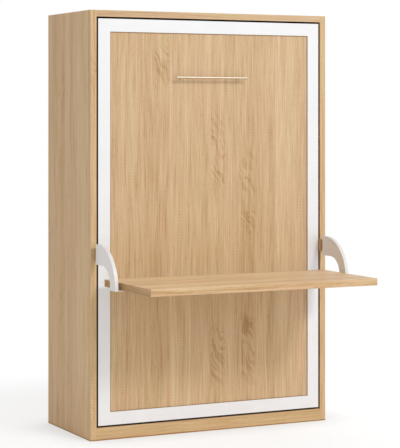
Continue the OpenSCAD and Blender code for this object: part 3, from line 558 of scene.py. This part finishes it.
def roundedBlock(name, low, high, radius, steps=6):
    # a slab in X and Z with rounded corners, its thickness in Y
    mesh = bpy.data.meshes.new(name)
    build = bmesh.new()
    corners = [(high.x - radius, high.z - radius, 0), (low.x + radius, high.z - radius, 90),
               (low.x + radius, low.z + radius, 180), (high.x - radius, low.z + radius, 270)]
    outline = []
    for cx, cz, start in corners:
        for i in range(steps + 1):
            angle = math.radians(start + 90 * i / steps)
            outline.append((cx + radius * math.cos(angle), cz + radius * math.sin(angle)))
    near = [build.verts.new((x, low.y, z)) for x, z in outline]
    far = [build.verts.new((x, high.y, z)) for x, z in outline]
    build.faces.new(near)
    build.faces.new(list(reversed(far)))
    for i in range(len(outline)):
        j = (i + 1) % len(outline)
        build.faces.new((near[j], near[i], far[i], far[j]))
    bmesh.ops.recalc_face_normals(build, faces=build.faces)
    build.to_mesh(mesh)
    build.free()
    return mesh, outline


def applyModifiers(piece):
    graph = bpy.context.evaluated_depsgraph_get()
    made = bpy.data.meshes.new_from_object(piece.evaluated_get(graph))
    piece.modifiers.clear()
    old = piece.data
    piece.data = made
    bpy.data.meshes.remove(old)


def smooth(mesh):
    for face in mesh.polygons:
        face.use_smooth = True


def readPoints(mesh):
    points = np.zeros(len(mesh.vertices) * 3)
    mesh.vertices.foreach_get("co", points)
    return points.reshape(-1, 3)


def swell(piece):
    # the cover is blown up from inside and each point's travel is capped
    rest = readPoints(piece.data)
    cloth = piece.modifiers.new("swell", "CLOTH")
    cloth.settings.use_pressure = True
    cloth.settings.uniform_pressure_force = mattress["pressure"]
    cloth.settings.effector_weights.gravity = 0
    cloth.settings.tension_stiffness = mattress["stiffness"]
    cloth.settings.compression_stiffness = mattress["stiffness"]
    cloth.point_cache.frame_end = mattress["frames"]
    for step in range(1, mattress["frames"] + 1):
        scene.frame_set(step)
    applyModifiers(piece)
    scene.frame_set(1)
    moved = readPoints(piece.data) - rest
    reach = np.linalg.norm(moved, axis=1, keepdims=True)
    most = mattress["mostSwell"]
    capped = rest + moved / np.maximum(reach, 1e-9) * most * np.tanh(reach / most)
    piece.data.vertices.foreach_set("co", capped.ravel())
    piece.data.update()


def quilt(mesh, low, high):
    # sewn lines on the slant sink in on both wide faces, and fade out at the border
    points = readPoints(mesh)
    thick = high.y - low.y
    middle = (high.y + low.y) / 2
    start, over = mattress["quiltFrom"]
    wide = np.clip((np.abs(points[:, 1] - middle) / (thick / 2) - start) / over, 0, 1)
    edge = np.minimum.reduce([points[:, 0] - low.x, high.x - points[:, 0],
                              points[:, 2] - low.z, high.z - points[:, 2]])
    start, over = mattress["quiltBorder"]
    wide *= np.clip((edge - start) / over, 0, 1)
    pitch = mattress["quiltPitch"]
    sink = np.zeros(len(points))
    for slant in (points[:, 0] + points[:, 2], points[:, 0] - points[:, 2]):
        off = np.abs((slant / pitch + 0.5) % 1 - 0.5) * pitch / math.sqrt(2)
        sink = np.maximum(sink, np.exp(-(off / mattress["seamWidth"]) ** 2))
    points[:, 1] -= np.sign(points[:, 1] - middle) * wide * sink * mattress["seamDepth"]
    mesh.vertices.foreach_set("co", points.ravel())
    mesh.update()


low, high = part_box("mattress")
inset = Vector([mattress["startInset"]] * 3)
mesh, outline = roundedBlock("mattressCover", low + inset, high - inset, mattress["cornerRadius"])
mattressPiece = newPiece("mattressCover", mesh, "bed", ticking)
remesh = mattressPiece.modifiers.new("even", "REMESH")
remesh.mode = "VOXEL"
remesh.voxel_size = mattress["voxel"]
applyModifiers(mattressPiece)
swell(mattressPiece)
soften = mattressPiece.modifiers.new("soften", "SMOOTH")
soften.iterations = 2
finer = mattressPiece.modifiers.new("finer", "SUBSURF")
finer.levels = 1
finer.render_levels = 1
applyModifiers(mattressPiece)
quilt(mattressPiece.data, low, high)
mattressPiece.data.materials.clear()
mattressPiece.data.materials.append(ticking)
smooth(mattressPiece.data)
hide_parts("mattress")

sunk = mattress["pipeInset"]
for label, y in (("Under", low.y + sunk), ("Over", high.y - sunk)):
    curve = bpy.data.curves.new("mattressPiping" + label, "CURVE")
    curve.dimensions = "3D"
    curve.bevel_depth = mattress["pipeRadius"]
    curve.bevel_resolution = 3
    spline = curve.splines.new("POLY")
    spline.points.add(len(outline) - 1)
    for point, (x, z) in zip(spline.points, outline):
        point.co = (x, y, z, 1)
    spline.use_cyclic_u = True
    pipe = bpy.data.objects.new("mattressPiping" + label, curve)
    scene.collection.objects.link(pipe)
    curve.materials.append(piping)
    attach(pipe, "bed")
print("mattress done:", len(mattressPiece.data.polygons), "faces")


strap = {
    "width": 0.04,  # metres
    "thickness": 0.0015,
    "corner": 0.022,  # the webbing rounds the mattress's edge with this radius
    "across": 4,  # faces across the webbing
    "up": 8,  # faces up the mattress's side, round its edge and over it
    "round": 6,
    "over": 24,
}


def strapPath(x, backY, frontY, radius):
    # from the left tube, over the mattress and down to the right tube
    up, bend, over = strap["up"], strap["round"], strap["over"]
    path = [(-x, frontY + (backY - radius - frontY) * i / up) for i in range(up + 1)]
    for i in range(1, bend + 1):
        angle = math.radians(180 - 90 * i / bend)
        path.append((-x + radius + radius * math.cos(angle),
                     backY - radius + radius * math.sin(angle)))
    middle = [(-x + radius + (2 * x - 2 * radius) * i / over, backY) for i in range(1, over)]
    return path + middle + [(-px, py) for px, py in reversed(path)]


strapLow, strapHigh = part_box("mattress_straps")
width, half, across = strap["width"], strap["thickness"] / 2, strap["across"]
for label, z in (("Low", strapLow.z + width / 2), ("High", strapHigh.z - width / 2)):
    path = strapPath(strapHigh.x - half, strapHigh.y - half, strapLow.y, strap["corner"])
    mesh = bpy.data.meshes.new("mattressStrap" + label)
    build = bmesh.new()
    rows = [[build.verts.new((x, y, z + width * (k / across - 0.5))) for k in range(across + 1)]
            for x, y in path]
    for one, two in zip(rows, rows[1:]):
        for k in range(across):
            build.faces.new((one[k], one[k + 1], two[k + 1], two[k]))
    build.to_mesh(mesh)
    build.free()
    piece = newPiece("mattressStrap" + label, mesh, "bed", webbing)
    thick = piece.modifiers.new("thick", "SOLIDIFY")
    thick.thickness = strap["thickness"]
    thick.offset = 0
    applyModifiers(piece)
    smooth(piece.data)
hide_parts("mattress_straps")
print("straps done")


# floor, light and backdrop
studio = {
    "sky": 0.68,  # strength of the even light from all round
    "key": 760.0,  # watts of the broad lamp at the right front
    "keyWay": (0.42, -1.0, 0.5),  # from the object to the lamp, as the desk's shadow tells
    "keySize": 16.0,
    "spot": 1500.0,  # a smaller and higher lamp, which gives the handle its shadow
    "spotWay": (0.33, -1.0, 0.8),
    "spotSize": 4.2,
    "far": 24.0,  # metres, so that a lamp lights top and bottom alike
    "aim": (0, 0, 1.0),  # where both lamps point
    "floor": "#FAF8F6",
    "floorHalf": 30,  # metres
    "floorDrop": 0.0005,  # metres under the object's feet
    "floorLift": 0.69,  # the camera sees the floor this much lifted towards white
    "paintedLightRise": 0.07,  # more lift at the right, where the photograph's floor is paler
    "liftFrom": 0.3,  # between these places on X, in metres
    "liftTo": 1.1,
    "floorDepth": 0.34,  # what the camera sees of the floor's own light and shadow
    "contact": 0.22,  # metres from the object over which the floor darkens
    "contactTone": 0.79,  # the floor's tone right beside it
    "fadeFrom": 2.0,  # metres from the object where the floor starts to melt into white
    "fadeTo": 3.4,
    "fadeBehind": 1.5,  # a metre behind the front plane counts as so many, and one before it
    "fadeBefore": 0.6,
}
floorMesh = bpy.data.meshes.new("floor")
wide = studio["floorHalf"]
floorMesh.from_pydata([(-wide, -wide, 0), (wide, -wide, 0), (wide, wide, 0), (-wide, wide, 0)], [],
                      [(0, 1, 2, 3)])
floor = bpy.data.objects.new("floor", floorMesh)
scene.collection.objects.link(floor)
floor.location.z = -studio["floorDrop"]


def seenRay(tree):
    # 1 for a ray that the camera sees, straight or by way of gloss or glass
    ray = addNode(tree, "LightPath")
    seen = addNode(tree, "Math", {0: ray.outputs["Is Camera Ray"], 1: ray.outputs["Is Glossy Ray"]},
                   operation="MAXIMUM")
    return addNode(tree, "Math", {0: seen, 1: ray.outputs["Is Transmission Ray"]},
                   operation="MAXIMUM")


# a matt painted floor; the camera sees its shadow softened and its far end as white as the
# backdrop, while the object is lit by the plain floor
floorMaterial = bpy.data.materials.new("paintedFloor")
floorMaterial.use_nodes = True
tree = floorMaterial.node_tree
tree.nodes.clear()
place = addNode(tree, "TexCoord")
floorPlace = addNode(tree, "SeparateXYZ", {"Vector": place.outputs["Object"]})
# the floor melts into white soon behind the object and late in front, where the bed comes down
behind = addNode(tree, "Math", {0: floorPlace.outputs["Y"], 1: 0.0}, operation="MAXIMUM")
before = addNode(tree, "Math", {0: floorPlace.outputs["Y"], 1: 0.0}, operation="MINIMUM")
beforeShort = addNode(tree, "Math", {0: before, 1: studio["fadeBefore"]}, operation="MULTIPLY")
along = addNode(tree, "Math", {0: behind, 1: studio["fadeBehind"], 2: beforeShort},
                operation="MULTIPLY_ADD")
flat = addNode(tree, "CombineXYZ", {"X": floorPlace.outputs["X"], "Y": along})
distance = addNode(tree, "VectorMath", {0: flat}, operation="LENGTH")
fade = addNode(tree, "MapRange", {"Value": distance.outputs["Value"],
                                  "From Min": studio["fadeFrom"], "From Max": studio["fadeTo"]},
               interpolation_type="SMOOTHSTEP")
plain = addNode(tree, "BsdfDiffuse", {"Color": linear(studio["floor"])})
shaded = addNode(tree, "BsdfDiffuse", {"Color": [studio["floorDepth"]] * 3 + [1]})
# painted light: the camera sees the floor paler towards the right, by a lift that rises along X
lift = addNode(tree, "MapRange", {"Value": floorPlace.outputs["X"], "From Min": studio["liftFrom"],
                                  "From Max": studio["liftTo"], "To Min": studio["floorLift"],
                                  "To Max": studio["floorLift"] + studio["paintedLightRise"]})
# a floor that meets an upright board has half of its sky left
skyLeft = addNode(tree, "AmbientOcclusion", {"Distance": studio["contact"]}, samples=8)
touching = addNode(tree, "MapRange", {"Value": skyLeft.outputs["AO"], "From Min": 0.5,
                                      "To Min": studio["contactTone"]})
dimmed = addNode(tree, "Math", {0: lift, 1: touching}, operation="MULTIPLY")
lifted = addNode(tree, "Emission", {"Color": (1, 1, 1, 1), "Strength": dimmed})
near = addNode(tree, "AddShader", {0: shaded, 1: lifted})
white = addNode(tree, "Emission", {"Color": (1, 1, 1, 1), "Strength": 1.0})
seenFloor = addNode(tree, "MixShader", {0: fade, 1: near, 2: white})
floorShader = addNode(tree, "MixShader", {0: seenRay(tree), 1: plain, 2: seenFloor})
addNode(tree, "OutputMaterial", {"Surface": floorShader})
floorMesh.materials.append(floorMaterial)

world = bpy.data.worlds.new("studio")
world.use_nodes = True
scene.world = world
tree = world.node_tree
tree.nodes.clear()
strength = addNode(tree, "MapRange", {"Value": seenRay(tree), "To Min": studio["sky"]})
sky = addNode(tree, "Background", {"Color": (1, 1, 1, 1), "Strength": strength})
addNode(tree, "OutputWorld", {"Surface": sky})

for name in ("key", "spot"):
    lamp = bpy.data.lights.new(name + "Lamp", "AREA")
    lamp.shape = "DISK"
    lamp.size = studio[name + "Size"]
    lamp.energy = studio[name]
    lampObject = bpy.data.objects.new(name + "Lamp", lamp)
    scene.collection.objects.link(lampObject)
    way = Vector(studio[name + "Way"]).normalized()
    lampObject.location = Vector(studio["aim"]) + way * studio["far"]
    lampObject.rotation_euler = way.to_track_quat("Z", "Y").to_euler()

scene.view_settings.view_transform = "Standard"
print("studio done")
